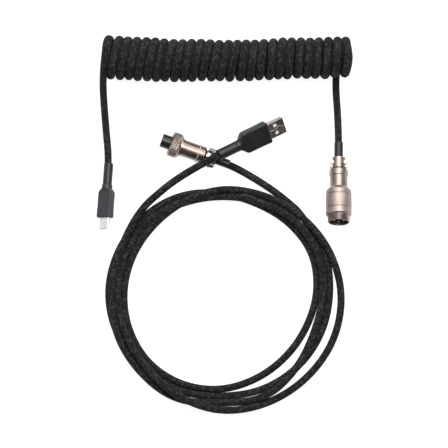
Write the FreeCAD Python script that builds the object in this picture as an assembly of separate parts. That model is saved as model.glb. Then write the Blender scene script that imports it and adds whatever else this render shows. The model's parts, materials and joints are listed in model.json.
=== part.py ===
"""Detachable coiled keyboard cable in two separate halves, lying on the plane z = 0.

Keyboard half: USB-C plug, straight lead, curly coil, straight lead, male round connector.
Host half: USB-A plug, tail, wound loops, tail, female round connector with its coupling nut.
Millimetres, +Z up, +X along the curly coil. Each connector is drawn in its own frame, with +X towards
its nose, and is then placed.
"""
import FreeCAD
import Part
import math
import os

V = FreeCAD.Vector
CLEARANCE = 0.01

# Cords: radii over the braid, and over the shrunk sleeves
LEAD_R = 2.6
HOST_R = 2.7
LEAD_SLEEVE_R = 3.2
WIRE_R = 0.4

# Curly coil: one fat tube, bowed a little in plan
COIL_R = 15.3
COIL_LEFT = -88.4
COIL_RIGHT = 93.8
COIL_SPLIT = 78.0
COIL_SPLIT_GAP = 0.4
BOW_R = 1510.0
BOW_AT = (2.7, 81.6)

# Wound loops of the host cord: an eccentric ring
LOOPS_OUTER = (0.7, -93.3, 87.0)
LOOPS_INNER = (-2.8, -88.4, 67.5)
LOOPS_HEIGHT = 11.0
LOOPS_EDGE_R = 3.0

# Where each connector lies: its local origin, then yaw, nose-up pitch and roll in degrees
USB_C_AT = ((-85.6, -15.0, 5.65), -93.7, 0.0, 30.0)
USB_A_AT = ((15.6, 21.4, 11.9), 28.2, -11.5, 33.0)
MALE_AT = ((83.8, 10.7, 5.6), -90.5, 8.0, 0.0)
FEMALE_AT = ((-5.8, 9.7, 5.7), 161.2, 7.5, 0.0)

# USB-C plug, from the back of the grip (x = 0)
C_GRIP = (18.4, 11.2, 6.3)
C_GRIP_CORNER = 1.0
C_SHELL = (8.3, 2.45, 0.25)
C_SHELL_BACK, C_SHELL_TIP = 14.0, 26.6
C_NECK_R = 3.9
C_FLARE = 4.0
C_SLEEVE_BACK = -21.9
C_CONTACT_PITCH = 0.5
C_CONTACTS_PER_ROW = 12

# USB-A plug, from the back of the grip (x = 0)
A_GRIP = (19.2, 15.8, 7.6)
A_GRIP_CORNER = 1.2
A_SHELL = (12.0, 4.5, 0.3)
A_SHELL_CORNER = 0.4
A_SHELL_BACK, A_SHELL_TIP = 10.0, 32.2
A_NECK_R = 4.1
A_FLARE = 6.0
A_SLEEVE_BACK = -22.5
A_WINDOW = (2.6, 2.4)
A_WINDOW_FROM_TIP = 7.3
A_WINDOW_SPREAD = 2.9
A_CONTACT_PITCH = 2.4

# Round connectors, from the back of the cable clamp (x = 0)
CLAMP_LENGTH = 7.6
CLAMP_ARCH_R = 5.1
CLAMP_EAR = (6.4, 2.4)
CLAMP_GAP = 0.2
SCREW_AT = (3.8, 4.9)
SCREW_R, SCREW_HEAD_R, SCREW_HEAD = 0.8, 1.45, 1.2
PIN_CIRCLE_R = 3.5
PIN_R = 0.75
ROUND_SLEEVE_BACK = -12.0
ROUND_SLEEVE_FRONT = 7.4
CORD_END = 7.6

# Male connector
MALE_THREAD_R = 8.0
MALE_THREAD = (44.2, 49.2)
MALE_MOUTH_R = 7.1
MALE_BORE_R = 7.8
MALE_INSERT = (34.0, 41.0)
MALE_BARREL_R = 6.4
MALE_SLEEVE_R = 9.4

# Female connector and its coupling nut
FEMALE_TIP = 42.3
FEMALE_NOSE_R = 5.0
FEMALE_NOSE_BACK = 35.3
FEMALE_STEM_R = 4.8
FEMALE_BARREL_R = 6.0
FEMALE_JOINT = 13.9
FEMALE_CLAMP_ROLL = -35
NUT = (28.05, 35.55)
NUT_R = 9.2
NUT_THREAD_R = 7.5
NUT_SHOULDER = 1.5
NUT_FLANGE = (34.2, 35.2, 7.2)
NUT_CLEARANCE = 0.05


def pose(at, yaw, pitch, roll):
    """Placement that turns +X to yaw in plan, lifts it by pitch, and rolls about it."""
    return FreeCAD.Placement(V(*at), FreeCAD.Rotation(yaw, -pitch, roll))


def turned(profile):
    """Solid made by turning an outline of (x, radius) points about X."""
    points = [V(x, r, 0) for x, r in profile]
    return Part.Face(Part.makePolygon(points + points[:1])).revolve(V(), V(1, 0, 0), 360)


def rod(x0, x1, radius, y=0.0, z=0.0):
    return Part.makeCylinder(radius, x1 - x0, V(x0, y, z), V(1, 0, 0))


def ring(x0, x1, outer, inner):
    return rod(x0, x1, outer).cut(rod(x0, x1, inner))


def block(x0, x1, width, height, y=0.0, z=0.0):
    """Box along X, centred on y and z."""
    return Part.makeBox(x1 - x0, width, height, V(x0, y - width / 2, z - height / 2))


def rounded(x, width, height, radius):
    """Closed rounded rectangle across the X axis at x."""
    y, z = width / 2 - radius, height / 2 - radius
    corners = [(y, z), (-y, z), (-y, -z), (y, -z)]
    edges, ends = [], []
    for quarter, (cy, cz) in enumerate(corners):
        angles = [math.radians(90 * quarter + k) for k in (0, 45, 90)]
        arc = [V(x, cy + radius * math.cos(a), cz + radius * math.sin(a)) for a in angles]
        ends.append((arc[0], arc[2]))
        edges.append(Part.Arc(*arc).toShape())
    for (_, end), (start, _) in zip(ends, ends[1:] + ends[:1]):
        edges.append(Part.LineSegment(end, start).toShape())
    return Part.Wire(Part.__sortEdges__(edges))


def slab(x0, x1, width, height, radius):
    return Part.Face(rounded(x0, width, height, radius)).extrude(V(x1 - x0, 0, 0))


def tube_shell(x0, x1, size, radius):
    """Thin-walled rounded box along X, open at both ends."""
    width, height, wall = size
    inside = slab(x0, x1, width - 2 * wall, height - 2 * wall, radius - wall)
    return slab(x0, x1, width, height, radius).cut(inside)


def grip(size, corner, neck_r, flare, collar):
    """Moulded grip: round neck, flare and rounded body, solid."""
    length, width, height = size
    neck = [rounded(x, 2 * neck_r, 2 * neck_r, 0.97 * neck_r) for x in (-flare - collar, -flare)]
    body = [rounded(0, width, height, corner), rounded(length, 1.03 * width, height, corner)]
    return Part.makeLoft(neck + body, True, True)


def four_round(make):
    """Four copies of make(y, z), one at each pin position."""
    spots = [(PIN_CIRCLE_R, 0), (0, PIN_CIRCLE_R), (-PIN_CIRCLE_R, 0), (0, -PIN_CIRCLE_R)]
    return Part.Compound([make(y, z) for y, z in spots])


def cores(x0, x1, start_r):
    """Four wires that fan out from the cord's end to the pins."""

    def core(y, z):
        k = start_r / PIN_CIRCLE_R
        start = V(x0, y * k, z * k)
        way = V(x1, y, z) - start
        return Part.makeCylinder(WIRE_R, way.Length, start, way)

    return four_round(core)


def flat_cores(x0, x1, pitch):
    """Four wires side by side."""
    return Part.Compound([rod(x0, x1, WIRE_R, y=(i - 1.5) * pitch) for i in range(4)])


def clamp_outline():
    """Arch with two screw ears, as long as the cable clamp."""
    ear_y, ear_z = CLAMP_EAR
    ears = block(0, CLAMP_LENGTH, 2 * ear_y, 2 * ear_z)
    ears = ears.makeFillet(1.6, [e for e in ears.Edges if e.BoundBox.ZLength > ear_z])
    solid = rod(0, CLAMP_LENGTH, CLAMP_ARCH_R).fuse(ears)
    for side in (1, -1):
        x, y = SCREW_AT[0], side * SCREW_AT[1]
        hole = Part.makeCylinder(SCREW_R, 4 * ear_z, V(x, y, -2 * ear_z))
        pocket = Part.makeCylinder(SCREW_HEAD_R + 0.1, 2 * ear_z, V(x, y, ear_z))
        solid = solid.cut(hole).cut(pocket)
    return solid


def half(solid, side):
    """The part of a solid above (side 1) or below (side -1) the clamp's gap."""
    size = 40
    low = CLAMP_GAP if side > 0 else -CLAMP_GAP - size
    return solid.common(Part.makeBox(size, size, size, V(-size / 4, -size / 2, low)))


def clamp_saddle():
    return half(clamp_outline(), 1).cut(rod(-1, CLAMP_LENGTH + 1, LEAD_SLEEVE_R + 0.1))


def clamp_screws():
    screws = []
    for side in (1, -1):
        x, y = SCREW_AT[0], side * SCREW_AT[1]
        shank = Part.makeCylinder(SCREW_R, 2 * CLAMP_EAR[1], V(x, y, -CLAMP_EAR[1]))
        head = Part.makeCylinder(SCREW_HEAD_R, SCREW_HEAD, V(x, y, CLAMP_EAR[1]))
        slot = Part.makeBox(4, 0.4, 0.5, V(x - 2, y - 0.2, CLAMP_EAR[1] + SCREW_HEAD - 0.5))
        screws.append(shank.fuse(head).cut(slot))
    return Part.Compound(screws)


def back_shell(profile, cord_r):
    """Turned barrel with the lower half of the cable clamp on its back."""
    lower = half(clamp_outline(), -1).cut(rod(-1, CLAMP_LENGTH + 1, LEAD_SLEEVE_R + 0.1))
    neck = ring(CLAMP_LENGTH, profile[0][0], 4.2, cord_r + 0.1)
    return turned(profile).fuse([neck, lower]).removeSplitter()


def strain_sleeve(x0, x1, outer, cord_r):
    return ring(x0, x1, outer, cord_r + CLEARANCE)


def usb_c():
    length = C_GRIP[0]
    width, height, wall = C_SHELL
    inner_w, inner_h = width - 2 * wall, height - 2 * wall
    slot_back = C_SHELL_BACK + 5.5
    body = grip(C_GRIP, C_GRIP_CORNER, C_NECK_R, C_FLARE, 2.0)
    can = (9.6, 4.6, 0.3)
    for hollow in (
        slab(3, C_SHELL_BACK, can[0], can[1], 1.0),
        slab(C_SHELL_BACK, length + 1, width, height, height / 2 - 0.02),
        rod(-C_FLARE - 3, 3, LEAD_R + CLEARANCE),
    ):
        body = body.cut(hollow)
    module = slab(C_SHELL_BACK, C_SHELL_TIP - 0.4, inner_w, inner_h, inner_h / 2 - 0.02)
    module = module.cut(block(slot_back, C_SHELL_TIP, 6.6, 0.95))
    rows = []
    for side in (1, -1):
        for i in range(C_CONTACTS_PER_ROW):
            y = (i - (C_CONTACTS_PER_ROW - 1) / 2) * C_CONTACT_PITCH
            rows.append(block(slot_back, C_SHELL_TIP - 1.2, 0.26, 0.12, y, side * 0.415))
    latches = [block(slot_back, C_SHELL_TIP - 1.6, 0.2, 0.5, side * 3.15) for side in (1, -1)]
    return {
        "usb_c_shell": tube_shell(C_SHELL_BACK, C_SHELL_TIP, C_SHELL, height / 2 - 0.02),
        "usb_c_contact_module": module,
        "usb_c_contacts": Part.Compound(rows),
        "usb_c_latch_springs": Part.Compound(latches),
        "usb_c_paddle_board": block(4, C_SHELL_BACK, 7.0, 0.8),
        "usb_c_shield_can": tube_shell(3, C_SHELL_BACK, can, 1.0),
        "usb_c_boot": body,
        "usb_c_strain_sleeve": strain_sleeve(C_SLEEVE_BACK, -C_FLARE - 2.0, 3.4, LEAD_R),
        "usb_c_wires": flat_cores(-3, 4, 1.1),
    }


def usb_a():
    length = A_GRIP[0]
    width, height, wall = A_SHELL
    inner_w, inner_h = width - 2 * wall, height - 2 * wall
    block_front = A_SHELL_BACK + 6
    body = grip(A_GRIP, A_GRIP_CORNER, A_NECK_R, A_FLARE, 2.0)
    can = (12.8, 5.6, 0.3)
    for hollow in (
        slab(2, A_SHELL_BACK, can[0], can[1], 1.0),
        slab(A_SHELL_BACK, length + 1, width, height, A_SHELL_CORNER),
        rod(-A_FLARE - 3, 2, HOST_R + CLEARANCE),
    ):
        body = body.cut(hollow)
    shell = tube_shell(A_SHELL_BACK, A_SHELL_TIP, A_SHELL, A_SHELL_CORNER)
    for side in (1, -1):
        x = A_SHELL_TIP - A_WINDOW_FROM_TIP - A_WINDOW[0] / 2
        window = block(x, x + A_WINDOW[0], A_WINDOW[1], 2 * height, side * A_WINDOW_SPREAD)
        shell = shell.cut(window)
    tongue_h = 1.9
    insulator = slab(A_SHELL_BACK, block_front, inner_w, inner_h, A_SHELL_CORNER - wall)
    tongue = block(block_front, A_SHELL_TIP - 0.6, inner_w - 1, tongue_h, z=(inner_h - tongue_h) / 2)
    under = inner_h / 2 - tongue_h - 0.15
    leaves = [
        block(block_front, A_SHELL_TIP - 1.5, 1.1, 0.3, (i - 1.5) * A_CONTACT_PITCH, under)
        for i in range(4)
    ]
    return {
        "usb_a_shell": shell,
        "usb_a_insulator": insulator.fuse(tongue).removeSplitter(),
        "usb_a_contacts": Part.Compound(leaves),
        "usb_a_shield_can": tube_shell(2, A_SHELL_BACK, can, 1.0),
        "usb_a_boot": body,
        "usb_a_strain_sleeve": strain_sleeve(A_SLEEVE_BACK, -A_FLARE - 2.0, A_NECK_R, HOST_R),
        "usb_a_wires": flat_cores(-4, A_SHELL_BACK, 1.1),
    }


def male():
    sleeve_front, nose = MALE_THREAD
    insert_back, insert_front = MALE_INSERT
    barrel = [(9.2, 3.2), (9.2, 6.3), (9.7, 6.85), (13.6, 6.85), (14.0, MALE_BARREL_R)]
    barrel += [(30, MALE_BARREL_R), (30, 5.2), (10.4, 5.2), (10.4, 3.2)]
    groove = 0.35
    sleeve = [(22.6, MALE_BARREL_R), (22.6, 6.7), (25.3, MALE_SLEEVE_R - 0.2)]
    for x in (28.6, 38.8):
        sleeve += [(x - 0.2, MALE_SLEEVE_R), (x, MALE_SLEEVE_R - groove)]
        sleeve += [(x + 0.6, MALE_SLEEVE_R - groove), (x + 0.8, MALE_SLEEVE_R)]
    sleeve += [(sleeve_front - 0.8, MALE_SLEEVE_R), (sleeve_front, 8.6)]
    sleeve += [(sleeve_front, MALE_BORE_R), (30, MALE_BORE_R), (30, MALE_BARREL_R)]
    front = [(32, 5.4), (32, MALE_BORE_R), (sleeve_front, MALE_BORE_R)]
    front += [(sleeve_front, MALE_THREAD_R), (nose - 0.4, MALE_THREAD_R), (nose, 7.7)]
    front += [(nose, 7.3), (nose - 0.2, MALE_MOUTH_R)]
    front += [(insert_back, MALE_MOUTH_R), (insert_back, 5.4)]
    insert = rod(insert_back, insert_front, MALE_MOUTH_R)
    pin_x = (30.0, 47.8)
    pins = four_round(lambda y, z: rod(pin_x[0], pin_x[1] - 0.5, PIN_R, y, z).fuse(
        Part.makeCone(PIN_R, 0.35, 0.5, V(pin_x[1] - 0.5, y, z), V(1, 0, 0))))
    holes = four_round(lambda y, z: rod(insert_back, insert_front, PIN_R, y, z))
    return {
        "male_strain_sleeve": strain_sleeve(
            ROUND_SLEEVE_BACK, ROUND_SLEEVE_FRONT, LEAD_SLEEVE_R, LEAD_R),
        "male_back_shell": back_shell(barrel, LEAD_R),
        "male_clamp_saddle": clamp_saddle(),
        "male_clamp_screws": clamp_screws(),
        "male_knurled_sleeve": turned(sleeve),
        "male_front_shell": turned(front),
        "male_insert": insert.cut(holes),
        "male_pins": pins,
        "male_insert_ring": ring(insert_front, insert_front + 0.8, MALE_MOUTH_R, 5.7),
        "male_wires": cores(CORD_END - 0.5, pin_x[0] + 0.5, 1.6),
    }


def rolled(shape):
    """A piece of the female connector's clamp, turned about the axis as it was screwed on."""
    return shape.rotate(V(), V(1, 0, 0), FEMALE_CLAMP_ROLL)


def female():
    flange_back, flange_front, flange_r = NUT_FLANGE
    joint = FEMALE_JOINT
    collar = [(9.6, 3.2), (9.6, 6.2), (joint, 6.2), (joint, 5.4), (18, 5.4)]
    collar += [(18, 4.5), (10.6, 4.5), (10.6, 3.2)]
    taper = [(8.2, 3.2), (8.2, 4.2), (9.6, 6.2), (9.6, 3.2)]
    tube = [(joint, 5.4), (joint, FEMALE_BARREL_R), (26.0, FEMALE_BARREL_R), (26.0, 6.5)]
    tube += [(26.8, 6.5), (26.8, FEMALE_BARREL_R), (flange_back, FEMALE_BARREL_R)]
    tube += [(flange_back, flange_r), (flange_front, flange_r), (flange_front, FEMALE_STEM_R)]
    tube += [(22, FEMALE_STEM_R), (22, 5.4)]
    stem = rod(22, FEMALE_NOSE_BACK, FEMALE_STEM_R)
    insert = rod(20, 22, 5.4).fuse([stem, rod(FEMALE_NOSE_BACK, FEMALE_TIP, FEMALE_NOSE_R)])
    key = block(FEMALE_TIP - 6.5, FEMALE_TIP + 1, 1.4, 1.0, z=FEMALE_NOSE_R)
    socket_r = 0.95
    holes = four_round(lambda y, z: rod(19, FEMALE_TIP + 1, socket_r, y, z))
    socket = (21.0, FEMALE_TIP - 0.8)
    contacts = four_round(lambda y, z: rod(*socket, socket_r, y, z).cut(
        rod(socket[1] - 7, socket[1], PIN_R + CLEARANCE, y, z)))
    return {
        "female_insert": insert.cut(key).cut(holes),
        "female_contacts": contacts,
        "female_front_shell": turned(tube),
        "female_insert_ring": ring(18, 20, 5.4, 4.6),
        "female_back_shell": rolled(back_shell(taper, HOST_R)).fuse(turned(collar)).removeSplitter(),
        "female_clamp_saddle": rolled(clamp_saddle()),
        "female_clamp_screws": rolled(clamp_screws()),
        "female_strain_sleeve": strain_sleeve(-10.0, ROUND_SLEEVE_FRONT, LEAD_SLEEVE_R, HOST_R),
        "female_wires": cores(CORD_END - 0.5, socket[0] + 0.5, 1.6),
    }


def coupling_nut():
    back, front = NUT
    bore = FEMALE_BARREL_R + NUT_CLEARANCE
    nut = [(back, bore), (back, NUT_R - 0.5), (back + 0.5, NUT_R), (front - 0.5, NUT_R)]
    nut += [(front, NUT_R - 0.5), (front, NUT_THREAD_R + 0.3), (front - 0.3, NUT_THREAD_R)]
    nut += [(back + NUT_SHOULDER, NUT_THREAD_R), (back + NUT_SHOULDER, bore)]
    return {
        "coupling_nut": turned(nut),
        "nut_washer": ring(back - 0.7, back - 0.1, 8.0, bore),
    }


def route_wire(points):
    """Path of straight runs joined by tangent arcs, each as large as its two runs allow."""
    p = [V(*q) for q in points]
    edges, radii, last = [], [], p[0]
    for a, b, c in zip(p, p[1:], p[2:]):
        back, ahead = (a - b).normalize(), (c - b).normalize()
        turn = math.pi - back.getAngle(ahead)
        reach = 0.45 * min((a - b).Length, (c - b).Length)
        radius = reach / math.tan(turn / 2)
        inward = (back + ahead).normalize()
        middle = b + inward * (radius / math.cos(turn / 2) - radius)
        start, end = b + back * reach, b + ahead * reach
        edges.append(Part.LineSegment(last, start).toShape())
        edges.append(Part.Arc(start, middle, end).toShape())
        radii.append(radius)
        last = end
    edges.append(Part.LineSegment(last, p[-1]).toShape())
    return Part.Wire(edges), radii


def cord_tube(name, points, radius):
    """Solid cord along a route. Prints its bend radii, and its volume over section times length."""
    wire, radii = route_wire(points)
    first = V(*points[0])
    section = Part.Wire(Part.makeCircle(radius, first, V(*points[1]) - first))
    solid = wire.makePipeShell([section], True, False)
    ratio = solid.Volume / (math.pi * radius ** 2 * wire.Length)
    sizes = ", ".join(f"{r:.0f}" for r in radii)
    print(f"{name}: {wire.Length:.1f} mm long, radii {sizes} mm, volume ratio {ratio:.4f}")
    return solid


def bow(x):
    """Y of the curly coil's axis at x."""
    middle_x, middle_y = BOW_AT
    return middle_y + BOW_R - math.sqrt(BOW_R ** 2 - (x - middle_x) ** 2)


def coil_length(x0, x1):
    """The curly coil from x0 to x1: one fat tube of its outer diameter."""
    ends = [V(x, bow(x), COIL_R) for x in (x0, (x0 + x1) / 2, x1)]
    path = Part.Arc(*ends)
    section = Part.Wire(Part.makeCircle(COIL_R, ends[0], path.tangent(path.FirstParameter)[0]))
    return Part.Wire(path.toShape()).makePipeShell([section], True, False)


def loops():
    x, y, r = LOOPS_OUTER
    solid = Part.makeCylinder(r, LOOPS_HEIGHT, V(x, y, 0))
    x, y, r = LOOPS_INNER
    solid = solid.cut(Part.makeCylinder(r, LOOPS_HEIGHT, V(x, y, 0)))
    rims = [e for e in solid.Edges if e.BoundBox.ZLength < 0.01]
    return solid.makeFillet(LOOPS_EDGE_R, rims)


def along(at, x):
    """Point on a placed connector's axis, x from its local origin."""
    return tuple(pose(*at).multVec(V(x, 0, 0)))


def cords():
    usb_c_lead = [
        along(USB_C_AT, -3),
        along(USB_C_AT, -24),
        (-86.2, 30.6, 2.7),
        (-87.4, 46.8, 2.9),
        (-87.9, 61.8, 9.6),
        (-87.3, 73.3, 20.5),
    ]
    male_lead = [
        along(MALE_AT, CORD_END),
        along(MALE_AT, -13.5),
        (83.3, 45.6, 2.7),
        (82.3, 62.8, 2.65),
        (81.7, 78.2, 3.4),
    ]
    usb_a_tail = [
        along(USB_A_AT, -4),
        along(USB_A_AT, -25.0),
        (-20.5, 2.0, 15.8),
        (-33.5, -5.1, 10.9),
        (-44.0, -14.0, 8.4),
        (-51.8, -25.2, 8.0),
    ]
    female_tail = [
        along(FEMALE_AT, CORD_END),
        along(FEMALE_AT, -10.8),
        (21.0, -2.8, 2.8),
        (36.5, -13.0, 2.75),
        (50.2, -24.2, 2.75),
    ]
    return {
        "lead_usb_c": cord_tube("lead_usb_c", usb_c_lead, LEAD_R),
        "lead_male": cord_tube("lead_male", male_lead, LEAD_R),
        "host_tail_usb_a": cord_tube("host_tail_usb_a", usb_a_tail, HOST_R),
        "host_tail_female": cord_tube("host_tail_female", female_tail, HOST_R),
        "curly_coil": coil_length(COIL_LEFT, COIL_SPLIT - COIL_SPLIT_GAP),
        "coil_last_turns": coil_length(COIL_SPLIT, COIL_RIGHT),
        "host_coil": loops(),
    }


def main():
    os.makedirs("parts", exist_ok=True)
    placed = [
        (usb_c, USB_C_AT),
        (usb_a, USB_A_AT),
        (male, MALE_AT),
        (female, FEMALE_AT),
        (coupling_nut, FEMALE_AT),
    ]
    nodes = cords()
    for make, at in placed:
        for name, shape in make().items():
            shape.Placement = pose(*at).multiply(shape.Placement)
            nodes[name] = shape
    for name, shape in sorted(nodes.items()):
        if not shape.isValid():
            print(f"{name} is not a valid shape")
        shape.exportStep(f"parts/{name}.step")


main()
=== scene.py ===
"""Looks of the detachable coiled keyboard cable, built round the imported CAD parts.

Sizes are in millimetres until the last step, where MM turns them into metres. The curly cord and
the host cord are braided mesh tubes that follow NURBS splines. The knurled, threaded and moulded
pieces are meshes in each connector's own frame, whose +X points to its nose.
"""
import bpy
import json
import math
import numpy as np
from mathutils import Matrix, Vector


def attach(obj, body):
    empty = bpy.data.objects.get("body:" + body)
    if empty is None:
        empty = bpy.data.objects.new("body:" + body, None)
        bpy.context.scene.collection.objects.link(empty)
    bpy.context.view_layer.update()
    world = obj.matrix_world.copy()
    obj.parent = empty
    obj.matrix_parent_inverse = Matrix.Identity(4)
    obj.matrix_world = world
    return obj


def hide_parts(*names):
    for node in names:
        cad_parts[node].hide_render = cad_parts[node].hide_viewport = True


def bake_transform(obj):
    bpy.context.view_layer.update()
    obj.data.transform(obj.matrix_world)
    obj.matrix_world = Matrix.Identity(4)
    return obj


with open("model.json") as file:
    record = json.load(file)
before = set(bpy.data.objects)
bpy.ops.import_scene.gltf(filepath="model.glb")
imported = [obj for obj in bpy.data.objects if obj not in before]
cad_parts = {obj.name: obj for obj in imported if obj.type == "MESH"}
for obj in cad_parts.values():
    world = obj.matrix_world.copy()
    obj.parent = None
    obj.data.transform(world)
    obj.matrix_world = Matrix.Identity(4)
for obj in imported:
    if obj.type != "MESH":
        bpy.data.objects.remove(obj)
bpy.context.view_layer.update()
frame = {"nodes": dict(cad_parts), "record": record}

MM = 0.001
TURN = 2 * math.pi

# Connectors: the mount that each frame comes from, how far that mount lies along X, and the roll
USB_C = ("usb_c_plug", 26.6, 30.0)
USB_A = ("usb_a_plug", 32.2, 33.0)
MALE = ("male_nose", 46.4, 0.0)
FEMALE = ("female_insert", 38.8, 0.0)

# Cords. A quadratic spline runs inside its control points by QUADRATIC_SHRINK at 16 a turn.
LEAD_R = 2.6
COIL_CORD_R = 3.25
HOST_R = 2.7
HOST_MESH_R = 2.65
QUADRATIC_SHRINK = 0.981

# Curly coil: its axis and its turns
COIL_AXIS_Z = 15.5
COIL_TURN_R = 12.0
BOW_R = 1510.0
BOW_AT = (2.7, 81.6)
FIRST_TOP_X = -86.1
LAST_TOP_X = 88.7
TURNS = 26
POINTS_PER_TURN = 16

# Its unevenness. A step is (change, first turn, turns it takes), a bump (height, x, width).
COIL_DRIFT, COIL_DRIFT_TURNS = 0.8, 20
COIL_WANDER = 0.3
LEAN_AT_START = 0.2
LEAN_STEPS = ((1.3, 0, 0.6), (-1.55, 12.5, 5), (-0.35, 19, 4))
ASIDE_BUMPS = ((1.2, 48, 20), (-0.4, -37, 16), (0.4, -18, 8))
WIDER_LEFT, WIDER_LEFT_UNTIL, WIDER_LEFT_OVER = 0.95, 15, 12
UNDERSIDE_RISE = (5.4, 23.3, 1.6)

# Its last turn, which opens towards the lead
LAST_FROM = 24.9
LAST_TOP_RIGHT, LAST_UNDERSIDE_RIGHT = 2.1, 0.9
LAST_LEAN = -1.65
LAST_SLIMMER = 0.5
LAST_ASIDE = 0.6


# ---------------------------------------------------------------- frames and small helpers

def mount_frame(mount, tip, roll):
    """Matrix of a connector's own frame, in millimetres, worked out from the mount at its nose."""
    found = next(m for m in frame["record"]["mounts"] if m["name"] == mount)
    axis = Vector(found["axis"]).normalized()
    origin = Vector(found["pos_m"]) / MM - axis * tip
    yaw, pitch = math.atan2(axis.y, axis.x), math.asin(axis.z)
    turn = (
        Matrix.Rotation(yaw, 4, "Z")
        @ Matrix.Rotation(-pitch, 4, "Y")
        @ Matrix.Rotation(math.radians(roll), 4, "X")
    )
    return Matrix.Translation(origin) @ turn


AT = {name: mount_frame(*spec) for name, spec in
      {"usb_c": USB_C, "usb_a": USB_A, "male": MALE, "female": FEMALE}.items()}


def along(connector, x):
    """Point on a connector's axis, x from its local origin."""
    return tuple(AT[connector] @ Vector((x, 0, 0)))


def smooth(t):
    """Eased step from 0 to 1."""
    t = np.clip(t, 0, 1)
    return t * t * (3 - 2 * t)


def step_at(turn, change, first, over):
    """Eased change of a size that starts at one turn and takes some turns."""
    return change * float(smooth((turn - first) / over))


def mix(a, b, t):
    return a + (b - a) * t


def wobble(seed, *phases):
    """Smooth repeatable unevenness between about -1 and 1."""
    total = 0
    for k, phase in enumerate(phases):
        total = total + np.sin(phase * (1.0 + 0.37 * k) + seed * (1.7 + k))
    return total / len(phases)


# ---------------------------------------------------------------- mesh building

def grid_faces(rows, columns, wrap_rows):
    """Quads of a grid whose columns wrap round."""
    r = np.arange(rows if wrap_rows else rows - 1)[:, None]
    c = np.arange(columns)[None, :]
    after_r, after_c = (r + 1) % rows, (c + 1) % columns
    corners = [r * columns + c, r * columns + after_c,
               after_r * columns + after_c, after_r * columns + c]
    return np.stack(corners, axis=-1).reshape(-1, 4)


def ring_mesh(name, rings, uv=None, wrap_rows=False, sharp=None):
    """Object skinned over rings, an array of rows x columns x 3 in millimetres.

    With wrap_rows the last ring joins the first. Otherwise both ends are closed by flat caps, and uv
    may give the size of one column and the place of each row in the layer that the braid uses.
    """
    rows, columns = rings.shape[:2]
    mesh = bpy.data.meshes.new(name)
    quads = grid_faces(rows, columns, wrap_rows)
    faces = quads.tolist()
    if not wrap_rows:
        faces.append(list(range(columns))[::-1])
        faces.append([(rows - 1) * columns + c for c in range(columns)])
    mesh.from_pydata((rings.reshape(-1, 3) * MM).tolist(), [], faces)
    if uv is not None:
        layer = mesh.uv_layers.new(name="braid")
        u, v = uv
        r, c = quads[:, 0] // columns, quads[:, 0] % columns
        span = np.stack([c, c + 1, c + 1, c], axis=-1)
        level = np.stack([r, r, r + 1, r + 1], axis=-1)
        flat = np.zeros((len(mesh.loops), 2), np.float32)
        flat[:quads.size, 0] = (span * u).ravel()
        flat[:quads.size, 1] = v[level.ravel()]
        layer.data.foreach_set("uv", flat.ravel())
    mesh.update()
    obj = bpy.data.objects.new(name, mesh)
    bpy.context.scene.collection.objects.link(obj)
    mesh.shade_smooth()
    if sharp is not None:
        mesh.set_sharp_from_angle(angle=math.radians(sharp))
    return obj


def place(obj, connector):
    """Moves a mesh built in a connector's own frame to where that connector lies."""
    matrix = AT[connector].copy()
    matrix.translation = matrix.translation * MM
    obj.data.transform(matrix)
    return obj


STRAIGHT_ENOUGH = math.radians(12)


def soften(outline, radius, steps):
    """Outline with each corner rounded by an arc, as large as the runs beside it allow."""
    points = [Vector(p) for p in outline]
    out = []
    for k, b in enumerate(points):
        a, c = points[k - 1], points[(k + 1) % len(points)]
        back, ahead = a - b, c - b
        turn = math.pi - back.angle(ahead)
        if turn < STRAIGHT_ENOUGH:
            out.append(tuple(b))
            continue
        reach = min(radius * math.tan(turn / 2), 0.45 * min(back.length, ahead.length))
        start, end = b + back.normalized() * reach, b + ahead.normalized() * reach
        for i in range(steps + 1):
            t = i / steps
            out.append(tuple(start * (1 - t) ** 2 + b * 2 * t * (1 - t) + end * t * t))
    return out


def divided(outline, step):
    """Closed outline with its long runs split to at most step."""
    out = []
    for k, p in enumerate(outline):
        q = outline[(k + 1) % len(outline)]
        n = max(1, math.ceil(math.dist(p, q) / step))
        for i in range(n):
            out.append((p[0] + (q[0] - p[0]) * i / n, p[1] + (q[1] - p[1]) * i / n))
    return out


def lathe(name, connector, outline, columns, relief=None, step=1.0, sharp=32):
    """Ring turned about a connector's axis from a closed outline of (x, radius).

    relief(x, radius, angles) gives how far the surface is cut in at each angle.
    """
    profile = np.array(divided(outline, step))
    angles = np.arange(columns) * TURN / columns
    radii = np.repeat(profile[:, 1:2], columns, axis=1)
    if relief is not None:
        for row, (x, r) in enumerate(profile):
            radii[row] -= relief(x, r, angles)
    x = np.repeat(profile[:, 0:1], columns, axis=1)
    rings = np.stack([x, radii * np.cos(angles), radii * np.sin(angles)], axis=-1)
    return place(ring_mesh(name, rings, wrap_rows=True, sharp=sharp), connector)


# ---------------------------------------------------------------- materials

def hexa(text):
    """Linear colour of an sRGB hex colour."""
    values = [int(text[i:i + 2], 16) / 255 for i in (0, 2, 4)]
    return tuple(v / 12.92 if v <= 0.04045 else ((v + 0.055) / 1.055) ** 2.4 for v in values) + (1,)


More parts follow.
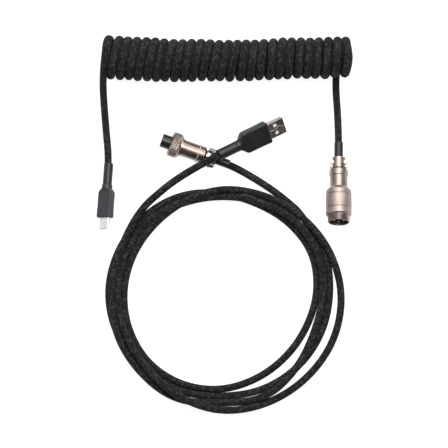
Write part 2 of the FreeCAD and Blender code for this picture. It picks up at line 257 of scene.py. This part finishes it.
class Nodes:
    """Short ways to add and join shader nodes."""

    def __init__(self, name):
        self.material = bpy.data.materials.new(name)
        self.material.use_nodes = True
        self.tree = self.material.node_tree
        self.shader = self.tree.nodes["Principled BSDF"]

    def add(self, kind, **settings):
        node = self.tree.nodes.new(kind)
        for key, value in settings.items():
            setattr(node, key, value)
        return node

    def feed(self, socket, value):
        if isinstance(value, bpy.types.NodeSocket):
            self.tree.links.new(value, socket)
        else:
            socket.default_value = value

    def math(self, operation, a, b=0.0):
        node = self.add("ShaderNodeMath", operation=operation)
        self.feed(node.inputs[0], a)
        self.feed(node.inputs[1], b)
        return node.outputs[0]

    def remap(self, value, low, high, to_low=0.0, to_high=1.0):
        node = self.add("ShaderNodeMapRange")
        for socket, v in zip(node.inputs, (value, low, high, to_low, to_high)):
            self.feed(socket, v)
        return node.outputs[0]

    def blend(self, factor, a, b):
        node = self.add("ShaderNodeMix", data_type="RGBA")
        self.feed(node.inputs["Factor"], factor)
        self.feed(node.inputs[6], a)
        self.feed(node.inputs[7], b)
        return node.outputs[2]

    def pick(self, factor, a, b):
        node = self.add("ShaderNodeMix", data_type="FLOAT")
        self.feed(node.inputs[0], factor)
        self.feed(node.inputs[2], a)
        self.feed(node.inputs[3], b)
        return node.outputs[0]

    def noise(self, scale, detail, roughness=0.5, vector=None):
        node = self.add("ShaderNodeTexNoise")
        self.feed(node.inputs["Scale"], scale)
        self.feed(node.inputs["Detail"], detail)
        self.feed(node.inputs["Roughness"], roughness)
        self.feed(node.inputs["Vector"], vector if vector is not None else self.place())
        return node.outputs["Fac"]

    def place(self):
        return self.add("ShaderNodeTexCoord").outputs["Object"]

    def bump(self, height, strength, distance_mm, normal=None):
        node = self.add("ShaderNodeBump")
        self.feed(node.inputs["Strength"], strength)
        self.feed(node.inputs["Distance"], distance_mm * MM)
        self.feed(node.inputs["Height"], height)
        if normal is not None:
            self.feed(node.inputs["Normal"], normal)
        return node.outputs[0]

    def set(self, **sockets):
        for name, value in sockets.items():
            self.feed(self.shader.inputs[name.replace("_", " ")], value)
        return self.material


def braid_material(name, gap_shade, yarn, glint, glint_share):
    """Diagonal braid of flat bundles. Its UV layer counts crossings round and along the cord."""
    n = Nodes(name)
    uv = n.add("ShaderNodeUVMap", uv_map="braid").outputs[0]
    split = n.add("ShaderNodeSeparateXYZ")
    n.feed(split.inputs[0], uv)
    p = n.math("ADD", split.outputs[0], split.outputs[1])
    q = n.math("SUBTRACT", split.outputs[0], split.outputs[1])
    cell_p, cell_q = n.math("FLOOR", p), n.math("FLOOR", q)
    part_p, part_q = n.math("FRACT", p), n.math("FRACT", q)
    over = n.math("MODULO", n.math("ABSOLUTE", n.math("ADD", cell_p, cell_q)), 2.0)
    across, ahead = n.pick(over, part_p, part_q), n.pick(over, part_q, part_p)
    # crown of the bundle on top, and where it dives under its neighbours
    centred = n.math("SUBTRACT", n.math("MULTIPLY", across, 2.0), 1.0)
    crown = n.math("SUBTRACT", 1.0, n.math("MULTIPLY", centred, centred))
    end = n.math("SUBTRACT", n.math("MULTIPLY", ahead, 2.0), 1.0)
    dive = n.math("SUBTRACT", 1.0, n.math("POWER", n.math("ABSOLUTE", end), 4.0))
    yarns = n.math("MULTIPLY", across, TURN * 4)
    yarns = n.math("ADD", n.math("MULTIPLY", n.math("COSINE", yarns), -0.5), 0.5)
    body = n.math("MULTIPLY", n.math("SQRT", n.math("MAXIMUM", crown, 0.0)), dive)
    height = n.math("MULTIPLY", body, n.remap(yarns, 0, 1, 0.72, 1))
    # each crossing catches the light a little differently
    join = n.add("ShaderNodeCombineXYZ")
    n.feed(join.inputs[0], cell_p)
    n.feed(join.inputs[1], cell_q)
    dice = n.add("ShaderNodeTexWhiteNoise", noise_dimensions="2D")
    n.feed(dice.inputs["Vector"], join.outputs[0])
    shade = n.remap(dice.outputs["Value"], 0, 1, 0.5, 1.5)
    bright = n.math("GREATER_THAN", dice.outputs["Value"], 1 - glint_share)
    worn = n.remap(n.noise(55, 3.0), 0.35, 0.7, 0.9, 1.1)
    # painted shade and painted light: the colour runs from near-black in the gaps between bundles
    # (painted shade) up to the yarn colour on each crown (painted light), squared for narrower
    # bright crowns
    crest = n.math("POWER", height, 2.0)
    tone = n.blend(n.math("MULTIPLY", crest, n.math("MULTIPLY", shade, worn)), gap_shade, yarn)
    # painted glints: on a share of crossings the bundle on top is painted a lighter colour along its
    # yarns
    lit = n.math("MULTIPLY", n.math("MULTIPLY", bright, body), n.remap(yarns, 0, 1, 0.35, 1))
    colour = n.blend(lit, tone, glint)
    fuzz = n.noise(2500, 2.0)
    surface = n.math("ADD", height, n.math("MULTIPLY", fuzz, 0.12))
    return n.set(
        Base_Color=colour,
        Roughness=n.remap(height, 0, 1, 0.85, 0.62),
        Normal=n.bump(surface, 0.8, 0.3),
        Specular_IOR_Level=0.14,
        Sheen_Weight=0.02,
        Sheen_Roughness=0.4,
    )


def moulded_material(name, low, high, roughness, grain, coat=0.0):
    """Moulded or shrunk polymer: fine spark texture, faint cloudiness, uneven polish."""
    n = Nodes(name)
    cloud = n.noise(90, 4.0, 0.6)
    fine = n.noise(4200, 2.0, 0.6)
    colour = n.blend(n.remap(cloud, 0.35, 0.65), low, high)
    rough = n.math("ADD", n.remap(cloud, 0.3, 0.7, roughness - 0.05, roughness + 0.06),
                   n.remap(fine, 0.3, 0.7, -0.04, 0.04))
    soft = n.bump(cloud, 0.25, 0.15)
    return n.set(
        Base_Color=colour,
        Roughness=rough,
        Normal=n.bump(fine, grain, 0.03, soft),
        Coat_Weight=coat,
        Coat_Roughness=0.25,
    )


def metal_material(name, low, high, roughness, axis=None, streak=0.35):
    """Plated metal: fine turning marks across an axis, drifting tone and light handling scuffs."""
    n = Nodes(name)
    spot = n.place()
    if axis is not None:
        dot = n.add("ShaderNodeVectorMath", operation="DOT_PRODUCT")
        n.feed(dot.inputs[0], spot)
        dot.inputs[1].default_value = tuple(axis)
        join = n.add("ShaderNodeCombineXYZ")
        n.feed(join.inputs[0], dot.outputs["Value"])
        marks = n.noise(5200, 3.0, 0.7, join.outputs[0])
    else:
        marks = n.noise(1800, 3.0, 0.7)
    cloud = n.noise(140, 4.0, 0.6)
    scuff = n.remap(n.noise(600, 5.0, 0.75), 0.56, 0.72)
    colour = n.blend(n.remap(cloud, 0.32, 0.68), low, high)
    rough = n.math("ADD", n.remap(cloud, 0.3, 0.7, roughness - 0.03, roughness + 0.05),
                   n.math("MULTIPLY", scuff, 0.12))
    return n.set(
        Base_Color=colour,
        Metallic=1.0,
        Roughness=n.math("ADD", rough, n.remap(marks, 0.3, 0.7, -0.03, 0.05)),
        Normal=n.bump(marks, streak, 0.004),
    )


def axis_of(connector):
    return AT[connector].to_3x3() @ Vector((1, 0, 0))


NICKEL = (hexa("9f918b"), hexa("b8aaa4"))
BRAID = braid_material("woven_cord", hexa("010101"), hexa("39393d"), hexa("47464a"), 0.22)
SHRUNK = moulded_material("shrunk_tube", hexa("0d0d0e"), hexa("161617"), 0.42, 0.3)
BOOT_A = moulded_material("moulded_grip_a", hexa("0f1012"), hexa("15161a"), 0.46, 0.5)
BOOT_C = moulded_material("moulded_grip_c", hexa("292a2e"), hexa("33343a"), 0.5, 0.5)
BLACK = moulded_material("moulded_insert", hexa("0c0c0d"), hexa("161617"), 0.38, 0.25)
WHITE = moulded_material("white_insert", hexa("d9d8d2"), hexa("ecebe6"), 0.45, 0.3)
GREEN = moulded_material("solder_mask", hexa("0d4020"), hexa("17552c"), 0.3, 0.2, coat=0.4)
COVER = moulded_material("wire_cover", hexa("6b1414"), hexa("8a1f1c"), 0.45, 0.2)
NICKEL_MALE = metal_material("nickel_male", hexa("93857f"), hexa("ab9d97"), 0.36, axis_of("male"))
NICKEL_KNURL = metal_material("nickel_knurl", *NICKEL, 0.5, axis_of("male"))
NICKEL_FEMALE = metal_material("nickel_female", *NICKEL, 0.3, axis_of("female"))
PLUG_STEEL = metal_material("plug_steel", hexa("948984"), hexa("b5aba6"), 0.26, streak=0.2)
NICKEL_BARREL = metal_material("nickel_barrel", hexa("7f716b"), hexa("988a83"), 0.34,
                               axis_of("female"))
# paler metal: on the USB-A seam its lighter colour is a painted highlight along the seam's edge; the
# female ring uses it too
PALE_RING_AND_SEAM_HIGHLIGHT = metal_material("pale_ring_and_seam_highlight", hexa("c4b9b3"), hexa("ddd4ce"), 0.6)
# painted reflection: the USB-C shell's near-white colour stands in for the lamps' reflection on it
SHELL_GLARE = metal_material("shell_painted_glare", hexa("f1edea"), hexa("fbf9f7"), 0.4, streak=0.2)
SILVER = metal_material("silver_flash", hexa("b8b2ac"), hexa("e2ddd6"), 0.16, streak=0.1)
GOLD = metal_material("gold_flash", hexa("d2b068"), hexa("ecd08c"), 0.2, streak=0.2)

SLOT_MATERIALS = {
    "braided_cord": BRAID,
    "shrunk_sleeve": SHRUNK,
    "grip": BOOT_A,
    "plug_steel": PLUG_STEEL,
    "black_insert": BLACK,
    "white_insulator": WHITE,
    "contact_metal": GOLD,
    "circuit_board": GREEN,
    "wire_cover": COVER,
}
NODE_MATERIALS = {
    "female_front_shell": NICKEL_BARREL,
    "female_back_shell": NICKEL_BARREL,
    "usb_c_boot": BOOT_C,
    "male_pins": SILVER,
    "usb_c_shell": SHELL_GLARE,
}


def dress_nodes():
    """Gives every CAD node its own material, or else the one of its slot."""
    for row in frame["record"]["subparts"]:
        node, slot = row["node"], row["material_slot"]
        if node in NODE_MATERIALS:
            material = NODE_MATERIALS[node]
        elif slot == "nickel":
            material = NICKEL_MALE if node.startswith("male") else NICKEL_FEMALE
        else:
            material = SLOT_MATERIALS[slot]
        mesh = frame["nodes"][node].data
        mesh.materials.clear()
        mesh.materials.append(material)


def finish_piece(obj, material, slot, body, *nodes):
    """Material, body and replaced CAD nodes of a new piece. Its slot is not used."""
    obj.data.materials.append(material)
    if body:
        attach(obj, body)
    if nodes:
        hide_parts(*nodes)


# ---------------------------------------------------------------- camera

CAMERA_AIM = (0.0, -37.0, 0.0)
CAMERA_ELEVATION = 80.0
CAMERA_DISTANCE = 2500.0
FIELD_WIDTH = 327.0


def make_camera():
    data = bpy.data.cameras.new("camera")
    data.sensor_width = 36.0
    data.lens = data.sensor_width * CAMERA_DISTANCE / FIELD_WIDTH
    data.clip_end = 20.0
    camera = bpy.data.objects.new("camera", data)
    bpy.context.scene.collection.objects.link(camera)
    e = math.radians(CAMERA_ELEVATION)
    back = Vector((0, -math.cos(e), math.sin(e)))
    camera.location = (Vector(CAMERA_AIM) + back * CAMERA_DISTANCE) * MM
    camera.rotation_euler = (-back).to_track_quat("-Z", "Y").to_euler()
    bpy.context.scene.camera = camera


# ---------------------------------------------------------------- cords

def spline_line(name, points, step):
    """Evenly spaced points, in millimetres, read from one open NURBS spline through the route."""
    curve = bpy.data.curves.new(name, "CURVE")
    curve.dimensions = "3D"
    curve.resolution_u = 16
    spline = curve.splines.new("NURBS")
    spline.points.add(len(points) - 1)
    for point, at in zip(spline.points, points):
        point.co = (at[0] * MM, at[1] * MM, at[2] * MM, 1)
    spline.order_u = 3
    spline.use_endpoint_u = True
    holder = bpy.data.objects.new(name, curve)
    bpy.context.scene.collection.objects.link(holder)
    mesh = bpy.data.meshes.new_from_object(holder)
    line = np.array([v.co for v in mesh.vertices]) / MM
    bpy.data.objects.remove(holder)
    bpy.data.meshes.remove(mesh)
    run = np.concatenate([[0], np.cumsum(np.linalg.norm(np.diff(line, axis=0), axis=1))])
    count = round(run[-1] / step)
    even = np.linspace(0, run[-1], count + 1)
    return np.stack([np.interp(even, run, line[:, k]) for k in range(3)], axis=-1), even


def carried_frames(line):
    """Two directions across the line at each of its points, turned as little as possible."""
    tangent = np.gradient(line, axis=0)
    tangent /= np.linalg.norm(tangent, axis=1)[:, None]
    side = np.cross(tangent[0], (0, 0, 1.0))
    side /= np.linalg.norm(side)
    sides = [side]
    for t in tangent[1:]:
        side = side - t * (side @ t)
        side = side / np.linalg.norm(side)
        sides.append(side)
    sides = np.array(sides)
    return sides, np.cross(tangent, sides)


BRAID_RELIEF = 0.15
PER_CROSSING = 4


def braided_tube(name, points, radius_at, bundles, pitch):
    """Mesh cord with one raised diamond for each crossing of its braid."""
    line, run = spline_line(name, points, pitch / PER_CROSSING)
    side, up = carried_frames(line)
    columns = PER_CROSSING * bundles
    angles = np.arange(columns) * TURN / columns
    round_it = np.arange(columns)[None, :] / PER_CROSSING
    down_it = np.arange(len(line))[:, None] / PER_CROSSING
    one, other = np.sin(math.pi * (round_it + down_it)), np.sin(math.pi * (round_it - down_it))
    raised = 2 * np.abs(one * other) - 1
    radius = radius_at(run, run[-1])[:, None] + raised * BRAID_RELIEF
    rings = (line[:, None, :]
             + (radius * np.cos(angles))[:, :, None] * side[:, None, :]
             + (radius * np.sin(angles))[:, :, None] * up[:, None, :])
    obj = ring_mesh(name, rings, uv=(1 / PER_CROSSING, np.arange(len(line)) / PER_CROSSING))
    print(f"{name}: {run[-1]:.0f} mm long, {len(line)} rings, lowest {rings[:, :, 2].min():.2f} mm")
    return obj, line, run[-1]


def bow(x):
    """Y of the curly coil's axis at x."""
    middle_x, middle_y = BOW_AT
    return middle_y + BOW_R - math.sqrt(BOW_R ** 2 - (x - middle_x) ** 2)


def dent(x, middle, width):
    """Smooth bump, 1 at the middle and fading over the width."""
    return math.exp(-((x - middle) / width) ** 2)


def coil_points():
    """Control points of the curly coil, from the top of its first turn to the top of its last."""
    points = []
    for k in range(TURNS * POINTS_PER_TURN + 1):
        turn = k / POINTS_PER_TURN
        angle = TURN * (0.25 - turn)
        last = step_at(turn, 1, LAST_FROM, 1)
        x = mix(FIRST_TOP_X, LAST_TOP_X, turn / TURNS)
        x -= COIL_DRIFT * math.sin(math.pi * min(turn, COIL_DRIFT_TURNS) / COIL_DRIFT_TURNS)
        x += COIL_WANDER * float(wobble(3.0, turn * 1.9, turn * 3.1)) * min(1, turn)
        x += LAST_TOP_RIGHT * last * max(0, math.sin(angle)) ** 2
        x += LAST_UNDERSIDE_RIGHT * last * min(0, math.sin(angle)) ** 2
        lean = mix(LEAN_AT_START + sum(step_at(turn, *one) for one in LEAN_STEPS), LAST_LEAN, last)
        wide = COIL_TURN_R - LAST_SLIMMER * last
        wide += WIDER_LEFT * float(smooth((WIDER_LEFT_UNTIL - turn) / WIDER_LEFT_OVER))
        wide += COIL_WANDER * float(wobble(1.0, turn * 1.3, turn * 2.3))
        rise = step_at(turn, *UNDERSIDE_RISE) * (1 - math.sin(angle)) / 2
        aside = sum(height * dent(x, *where) for height, *where in ASIDE_BUMPS) - LAST_ASIDE * last
        points.append((
            x + lean * math.cos(angle),
            bow(x) + aside + wide / QUADRATIC_SHRINK * math.cos(angle),
            COIL_AXIS_Z + COIL_TURN_R / QUADRATIC_SHRINK * math.sin(angle) + rise,
        ))
    return points


def curly_radius(run, total):
    """Cord radius: slim leads that swell into the coil."""
    swell_from, swell_until, over = 85.0, total - 75.0, 30.0
    swell = smooth((run - swell_from) / over) * smooth((swell_until - run) / over)
    return mix(LEAD_R, COIL_CORD_R, swell)


def make_curly_cord():
    arrive = [
        along("usb_c", -3),
        along("usb_c", -24),
        (-86.2, 30.6, 2.7),
        (-87.6, 46.8, 2.9),
        (-88.6, 61.8, 9.6),
        (-88.0, 73.0, 21.5),
    ]
    leave = [
        (89.2, 95.2, 22.0),
        (88.7, 96.9, 12.0),
        (86.5, 91.2, 3.7),
        (82.6, 79.0, 2.7),
        (82.0, 62.8, 2.75),
        (83.3, 45.6, 2.75),
        along("male", -13.5),
        along("male", 7.6),
    ]
    points = arrive + coil_points() + leave
    obj, line, total = braided_tube("curly_cord", points, curly_radius, 10, 2.0)
    finish_piece(obj, BRAID, "braided_cord", None,
                 "lead_usb_c", "curly_coil", "coil_last_turns", "lead_male")
    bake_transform(obj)


# Host loops: for each pass, the plan radius and the height at sixteenths of a turn from the upper
# left, anticlockwise. The first pass comes from the USB-A plug, the last leaves for the female end.
LOOPS_AT = (-2.7, -87.2)
LOOPS_START = 135.0
LOOPS_STRETCH_Y = 1.008
LOOPS_LEAN = 0.176
LOW, MID, TOP = 2.83, 7.4, 11.6
LOOPS_PASSES = [
    [(82.0, 7.2), (78.0, MID), (78.1, MID), (80.8, 8.2), (81.8, 5.6), (84.2, 4.8), (79.8, 6.4),
     (83.2, 7.4), (77.7, 7.8), (73.4, 5.2), (74.4, MID), (76.3, 7.8), (75.0, 7.8), (71.0, 7.9),
     (69.1, 7.9), (69.7, 5.8)],
    [(73.6, 5.2), (73.8, 4.8), (74.3, 6.0), (75.4, 9.0), (75.9, 9.8), (81.0, TOP), (86.0, 10.2),
     (87.5, 4.2), (88.3, LOW), (89.2, LOW), (87.8, 3.8), (84.1, 7.0), (79.9, 8.2), (76.4, 7.0),
     (74.6, 9.8), (70.4, TOP)],
    [(68.2, 6.4), (68.5, LOW), (69.8, LOW), (71.5, LOW), (73.2, LOW), (72.7, LOW), (71.0, LOW),
     (68.1, LOW), (66.7, LOW), (67.2, LOW), (70.0, LOW), (72.3, LOW), (70.6, LOW), (69.1, LOW),
     (71.6, LOW), (75.7, LOW)],
    [(77.8, LOW), (79.6, LOW), (81.2, LOW), (80.8, LOW), (77.6, LOW), (78.1, LOW), (75.5, LOW),
     (77.2, LOW), (78.2, LOW), (79.0, LOW), (79.3, LOW), (81.4, LOW), (80.0, LOW)],
]
POINTS_PER_LOOP = 16


def loop_points():
    """Control points of the wound loops, set out a little wide because the spline cuts inside."""
    points = []
    for k, (radius, height) in enumerate(knot for one_pass in LOOPS_PASSES for knot in one_pass):
        angle = math.radians(LOOPS_START) + TURN * k / POINTS_PER_LOOP
        out = radius / QUADRATIC_SHRINK
        points.append((
            LOOPS_AT[0] + out * math.cos(angle),
            LOOPS_AT[1] + out * LOOPS_STRETCH_Y * math.sin(angle) - LOOPS_LEAN * (height - LOW),
            height,
        ))
    return points


def make_host_cord():
    start = [
        along("usb_a", -4),
        along("usb_a", -25.0),
        (-20.5, 2.0, 15.8),
        (-33.5, -5.1, 10.9),
        (-44.6, -12.9, 8.4),
    ]
    end = [
        (50.2, -24.2, LOW),
        (36.5, -13.0, LOW),
        (21.0, -2.8, LOW),
        along("female", -10.8),
        along("female", 7.6),
    ]
    points = start + loop_points() + end
    obj, line, total = braided_tube(
        "host_cord", points, lambda run, _: np.full(len(run), HOST_MESH_R), 8, 2.0)
    finish_piece(obj, BRAID, "braided_cord", "host_cable",
                 "host_tail_usb_a", "host_coil", "host_tail_female")


# ---------------------------------------------------------------- connectors

def knurled_sleeve():
    """Wide turned sleeve of the male connector, with a straight knurl between two grooves."""
    rim, groove = 9.4, 0.35
    knurl_from, knurl_to = 29.3, 38.7
    outline = [(22.6, 6.41), (22.6, 6.7), (25.3, 9.2)]
    for x in (28.6, 38.8):
        outline += [(x - 0.15, rim), (x, rim - groove), (x + 0.6, rim - groove), (x + 0.75, rim)]
    outline += [(43.4, rim), (44.2, 8.6), (44.2, 7.81), (30, 7.81), (30, 6.41)]
    teeth, depth = 96, 0.06

    def relief(x, r, angles):
        if r < rim - 0.1 or not knurl_from < x < knurl_to:
            return 0
        edge = float(smooth(min(x - knurl_from, knurl_to - x) / 0.5))
        wave = np.abs(((angles * teeth / TURN) % 1.0) * 2 - 1)
        return depth * edge * wave

    obj = lathe("knurled_sleeve", "male", soften(outline, 0.2, 3), teeth * 4, relief, 0.4, 28)
    finish_piece(obj, NICKEL_KNURL, "nickel", "male_end", "male_knurled_sleeve")


def thread_cut(start, end, crest, pitch, depth):
    """Relief of a right-hand thread on a crest radius, faded at both ends."""
    def relief(x, r, angles):
        if r < crest - 0.05 or not start < x < end:
            return 0
        edge = float(smooth(min(x - start, end - x) / 0.5))
        phase = (x / pitch - angles / TURN) % 1.0
        return depth * edge * np.clip(np.abs(phase * 2 - 1) * 1.5 - 0.25, 0, 1)
    return relief


def threaded_nose():
    """Nose of the male connector: its mouth, its bore and a right-hand thread outside."""
    outline = [(32, 5.41), (32, 7.79), (44.2, 7.79), (44.2, 8.0), (48.8, 8.0), (49.2, 7.7),
               (49.2, 7.3), (49.0, 7.11), (34.0, 7.11), (34.0, 5.41)]
    obj = lathe("threaded_nose", "male", soften(outline, 0.15, 2), 120,
                thread_cut(44.3, 49.0, 8.0, 1.0, 0.42), 0.1, 40)
    finish_piece(obj, NICKEL_MALE, "nickel", "male_end", "male_front_shell")


def knurled_nut():
    """Coupling nut of the female connector, with a slanted knurl between its chamfers."""
    back, front, rim = 28.05, 35.55, 9.2
    bore, thread = 6.05, 7.5
    rear_chamfer, front_chamfer = 1.0, 0.75
    outline = [(back, bore), (back, rim - rear_chamfer), (back + rear_chamfer, rim),
               (front - front_chamfer, rim), (front, rim - front_chamfer),
               (front, thread + 0.35), (front - 0.35, thread),
               (back + 1.5, thread), (back + 1.5, bore)]
    teeth, depth = 32, 0.7

    def relief(x, r, angles):
        if r < rim - 0.05 or not back + 1.0 < x < front - 0.8:
            return 0
        edge = float(smooth(min(x - back - 1.0, front - 0.8 - x) / 0.35))
        turn = angles * teeth / TURN
        slant = (x - back) / 1.8
        one = np.abs(((turn + slant) % 1.0) * 2 - 1)
        two = np.abs(((turn - slant) % 1.0) * 2 - 1)
        return depth * edge * np.maximum(one, 0.4 * two)

    obj = lathe("knurled_nut", "female", soften(outline, 0.15, 3), teeth * 6, relief, 0.15, 40)
    finish_piece(obj, NICKEL_FEMALE, "nickel", "coupling_nut", "coupling_nut")


def shrunk_sleeve(name, connector, x0, x1, inner, outer, body, node, seed):
    """Shrunk tube whose surface shows the cord's braid faintly and whose ends are rolled."""
    outline = soften([(x0, inner), (x0, outer), (x1, outer), (x1, inner)], 0.25, 3)
    sink, crease_depth, weave_depth = 0.035, 0.025, 0.02

    def relief(x, r, angles):
        if r < outer - 0.02:
            return 0
        crease = np.sin(angles * 3 + x * 0.35 + seed) * np.sin(x * 0.8 + seed * 2)
        weave = np.sin(angles * 12 + x * 4.2) * np.sin(angles * 12 - x * 4.2)
        return sink + crease_depth * crease + weave_depth * weave

    obj = lathe(name, connector, outline, 72, relief, 0.35, 50)
    finish_piece(obj, SHRUNK, "shrunk_sleeve", body, node)


def rounded_section(width, height, corner, columns):
    """Rounded rectangle as columns points (y, z), evenly spread by angle steps."""
    corner = min(corner, width / 2 - 1e-4, height / 2 - 1e-4)
    y, z = width / 2 - corner, height / 2 - corner
    quarter = columns // 4
    points = []
    for k, (cy, cz) in enumerate([(y, z), (-y, z), (-y, -z), (y, -z)]):
        arc = quarter * 2 // 3
        for i in range(arc):
            a = math.radians(90 * k + 90 * i / (arc - 1))
            points.append((cy + corner * math.cos(a), cz + corner * math.sin(a)))
        ny, nz = [(-y, z + corner), (-y - corner, -z), (y, -z - corner), (y + corner, z)][k]
        ly, lz = points[-1]
        rest = quarter - arc
        for i in range(1, rest + 1):
            t = i / (rest + 1)
            points.append((ly + (ny - ly) * t, lz + (nz - lz) * t))
    return np.array(points)


def boot(name, connector, size, corner, neck_r, flare, collar, shell, material, body, node):
    """Moulded grip: round collar, flare, and a slightly waisted body closed round the shell."""
    length, width, height = size
    columns, flare_steps, body_steps, nose_steps = 96, 14, 12, 5
    nose_round, widening, waist_depth, shell_gap = 0.9, 0.03, 0.18, 0.04
    rows = []

    def ring_at(x, w, h, c):
        section = rounded_section(w, h, c, columns)
        rows.append(np.column_stack([np.full(columns, x), section]))

    neck = 2 * neck_r
    back = -flare - collar
    inner = 2 * (HOST_R if connector == "usb_a" else LEAD_R) + 0.1
    ring_at(back + 0.6, inner, inner, inner / 2)
    ring_at(back, inner, inner, inner / 2)
    ring_at(back, neck - 0.7, neck - 0.7, neck / 2)
    ring_at(back + 0.1, neck - 0.25, neck - 0.25, neck / 2)
    ring_at(back + 0.35, neck, neck, neck / 2)
    ring_at(-flare - 0.05, neck, neck, neck / 2)
    for i in range(1, flare_steps + 1):
        t = i / flare_steps
        s = float(smooth(t))
        ring_at(-flare + flare * t, mix(neck, width, s), mix(neck, height, s),
                mix(neck / 2, corner, s))
    for i in range(1, body_steps + 1):
        t = i / body_steps
        x = (length - nose_round) * t
        waist = waist_depth * math.sin(math.pi * min(1, max(0, (x - 3) / (length - 6))))
        ring_at(x, width * (1 + widening * t) - waist, height - waist, corner)
    for i in range(1, nose_steps + 1):
        a = math.radians(90 * i / nose_steps)
        inset = nose_round * (1 - math.cos(a))
        ring_at(length - nose_round + nose_round * math.sin(a),
                width * (1 + widening) - 2 * inset, height - 2 * inset, max(corner - inset, 0.4))
    shell_w, shell_h, shell_c = shell
    ring_at(length, shell_w + 0.5, shell_h + 0.5, shell_c + 0.2)
    for depth in (0.25, 2.0):
        ring_at(length - depth, shell_w + shell_gap, shell_h + shell_gap, shell_c)
    obj = ring_mesh(name, np.array(rows), wrap_rows=True, sharp=40)
    place(obj, connector)
    finish_piece(obj, material, "grip", body, node)


def shell_seam():
    """Folded seam on the USB-A shell: a straight run, a jog near the tip and its end."""
    sunk, lift, wide, z = 0.1, 0.1, 0.4, 2.25
    quads = ((4, 7, 6, 5), (0, 1, 2, 3), (0, 4, 5, 1), (1, 5, 6, 2), (2, 6, 7, 3), (3, 7, 4, 0))
    runs = [((19.6, 0.0), (25.6, 0.0)), ((25.6, 0.0), (26.6, 1.4)), ((26.6, 1.4), (28.4, 1.4)),
            ((28.4, 1.4), (29.4, 0.0)), ((29.4, 0.0), (31.6, 0.0))]
    verts, faces = [], []
    for (x0, y0), (x1, y1) in runs:
        along_run = Vector((x1 - x0, y1 - y0)).normalized()
        across = Vector((-along_run.y, along_run.x)) * wide / 2
        first = len(verts)
        for level in (z - sunk, z + lift):
            for x, y, side in ((x0, y0, 1), (x1, y1, 1), (x1, y1, -1), (x0, y0, -1)):
                verts.append(((x + across.x * side) * MM, (y + across.y * side) * MM, level * MM))
        faces += [tuple(first + k for k in quad) for quad in quads]
    mesh = bpy.data.meshes.new("usb_a_seam")
    mesh.from_pydata(verts, [], faces)
    mesh.update()
    obj = bpy.data.objects.new("usb_a_seam", mesh)
    bpy.context.scene.collection.objects.link(obj)
    place(obj, "usb_a")
    # the paler metal paints the seam's edge highlight
    finish_piece(obj, PALE_RING_AND_SEAM_HIGHLIGHT, "plug_steel", "host_cable")


def retaining_ring():
    """Thin bright ring let into the female connector's barrel."""
    outline = soften([(13.6, 5.6), (13.6, 6.8), (14.3, 6.8), (14.3, 5.6)], 0.15, 3)
    obj = lathe("female_retaining_ring", "female", outline, 96, step=0.3)
    finish_piece(obj, PALE_RING_AND_SEAM_HIGHLIGHT, "nickel", "host_cable")


def make_connectors():
    shell_seam()
    retaining_ring()
    knurled_sleeve()
    threaded_nose()
    knurled_nut()
    shrunk_sleeve("male_shrunk_tube", "male", -12.0, 7.4, 2.72, 3.25, "male_end",
                  "male_strain_sleeve", 1.0)
    shrunk_sleeve("female_shrunk_tube", "female", -10.0, 7.4, 2.82, 3.25, "host_cable",
                  "female_strain_sleeve", 2.0)
    shrunk_sleeve("usb_c_shrunk_tube", "usb_c", -21.9, -6.0, 2.72, 3.4, "keyboard_side",
                  "usb_c_strain_sleeve", 3.0)
    shrunk_sleeve("usb_a_shrunk_tube", "usb_a", -22.5, -8.0, 2.82, 4.1, "host_cable",
                  "usb_a_strain_sleeve", 4.0)
    boot("usb_a_grip", "usb_a", (19.2, 15.8, 7.6), 1.2, 4.1, 6.0, 2.0, (12.0, 4.5, 0.4), BOOT_A,
         "host_cable", "usb_a_boot")
    boot("usb_c_grip", "usb_c", (18.4, 11.2, 6.3), 1.0, 3.9, 4.0, 2.0, (8.3, 2.45, 1.2), BOOT_C,
         "keyboard_side", "usb_c_boot")


# ---------------------------------------------------------------- stage and light

def make_floor():
    """Floor that glows, so that the ground stays white."""
    half = 3.0
    mesh = bpy.data.meshes.new("floor")
    mesh.from_pydata([(-half, -half, 0), (half, -half, 0), (half, half, 0), (-half, half, 0)],
                     [], [(0, 1, 2, 3)])
    floor = bpy.data.objects.new("floor", mesh)
    bpy.context.scene.collection.objects.link(floor)
    n = Nodes("floor_white")
    tone = n.blend(n.remap(n.noise(3, 2.0), 0.3, 0.7), (0.27, 0.27, 0.27, 1), (0.3, 0.3, 0.3, 1))
    mesh.materials.append(n.set(
        Base_Color=tone, Roughness=0.9, Emission_Color=(1, 1, 1, 1), Emission_Strength=0.92))


def soft_light(name, at, size, power):
    """Rectangular lamp that faces the middle of the table."""
    data = bpy.data.lights.new(name, "AREA")
    data.shape = "RECTANGLE"
    data.size, data.size_y = size
    data.energy = power
    lamp = bpy.data.objects.new(name, data)
    bpy.context.scene.collection.objects.link(lamp)
    lamp.location = at
    lamp.rotation_euler = (-Vector(at)).to_track_quat("-Z", "Y").to_euler()


def make_light():
    world = bpy.data.worlds.new("studio")
    world.use_nodes = True
    back = world.node_tree.nodes["Background"]
    back.inputs[0].default_value = (0.93, 0.80, 0.76, 1)
    back.inputs[1].default_value = 0.15
    bpy.context.scene.world = world
    soft_light("left_box", (-1.7, 0.3, 1.3), (0.9, 1.5), 5)
    soft_light("right_box", (1.5, 0.1, 1.8), (0.6, 1.6), 5)
    soft_light("back_box", (0, 1.5, 1.7), (2.6, 1.3), 40)
    soft_light("top_box", (0.3, 0.3, 2.2), (1.2, 0.9), 34)
    bpy.context.scene.view_settings.view_transform = "Standard"


def main():
    make_camera()
    make_curly_cord()
    make_host_cord()
    dress_nodes()
    make_connectors()
    make_floor()
    make_light()


main()
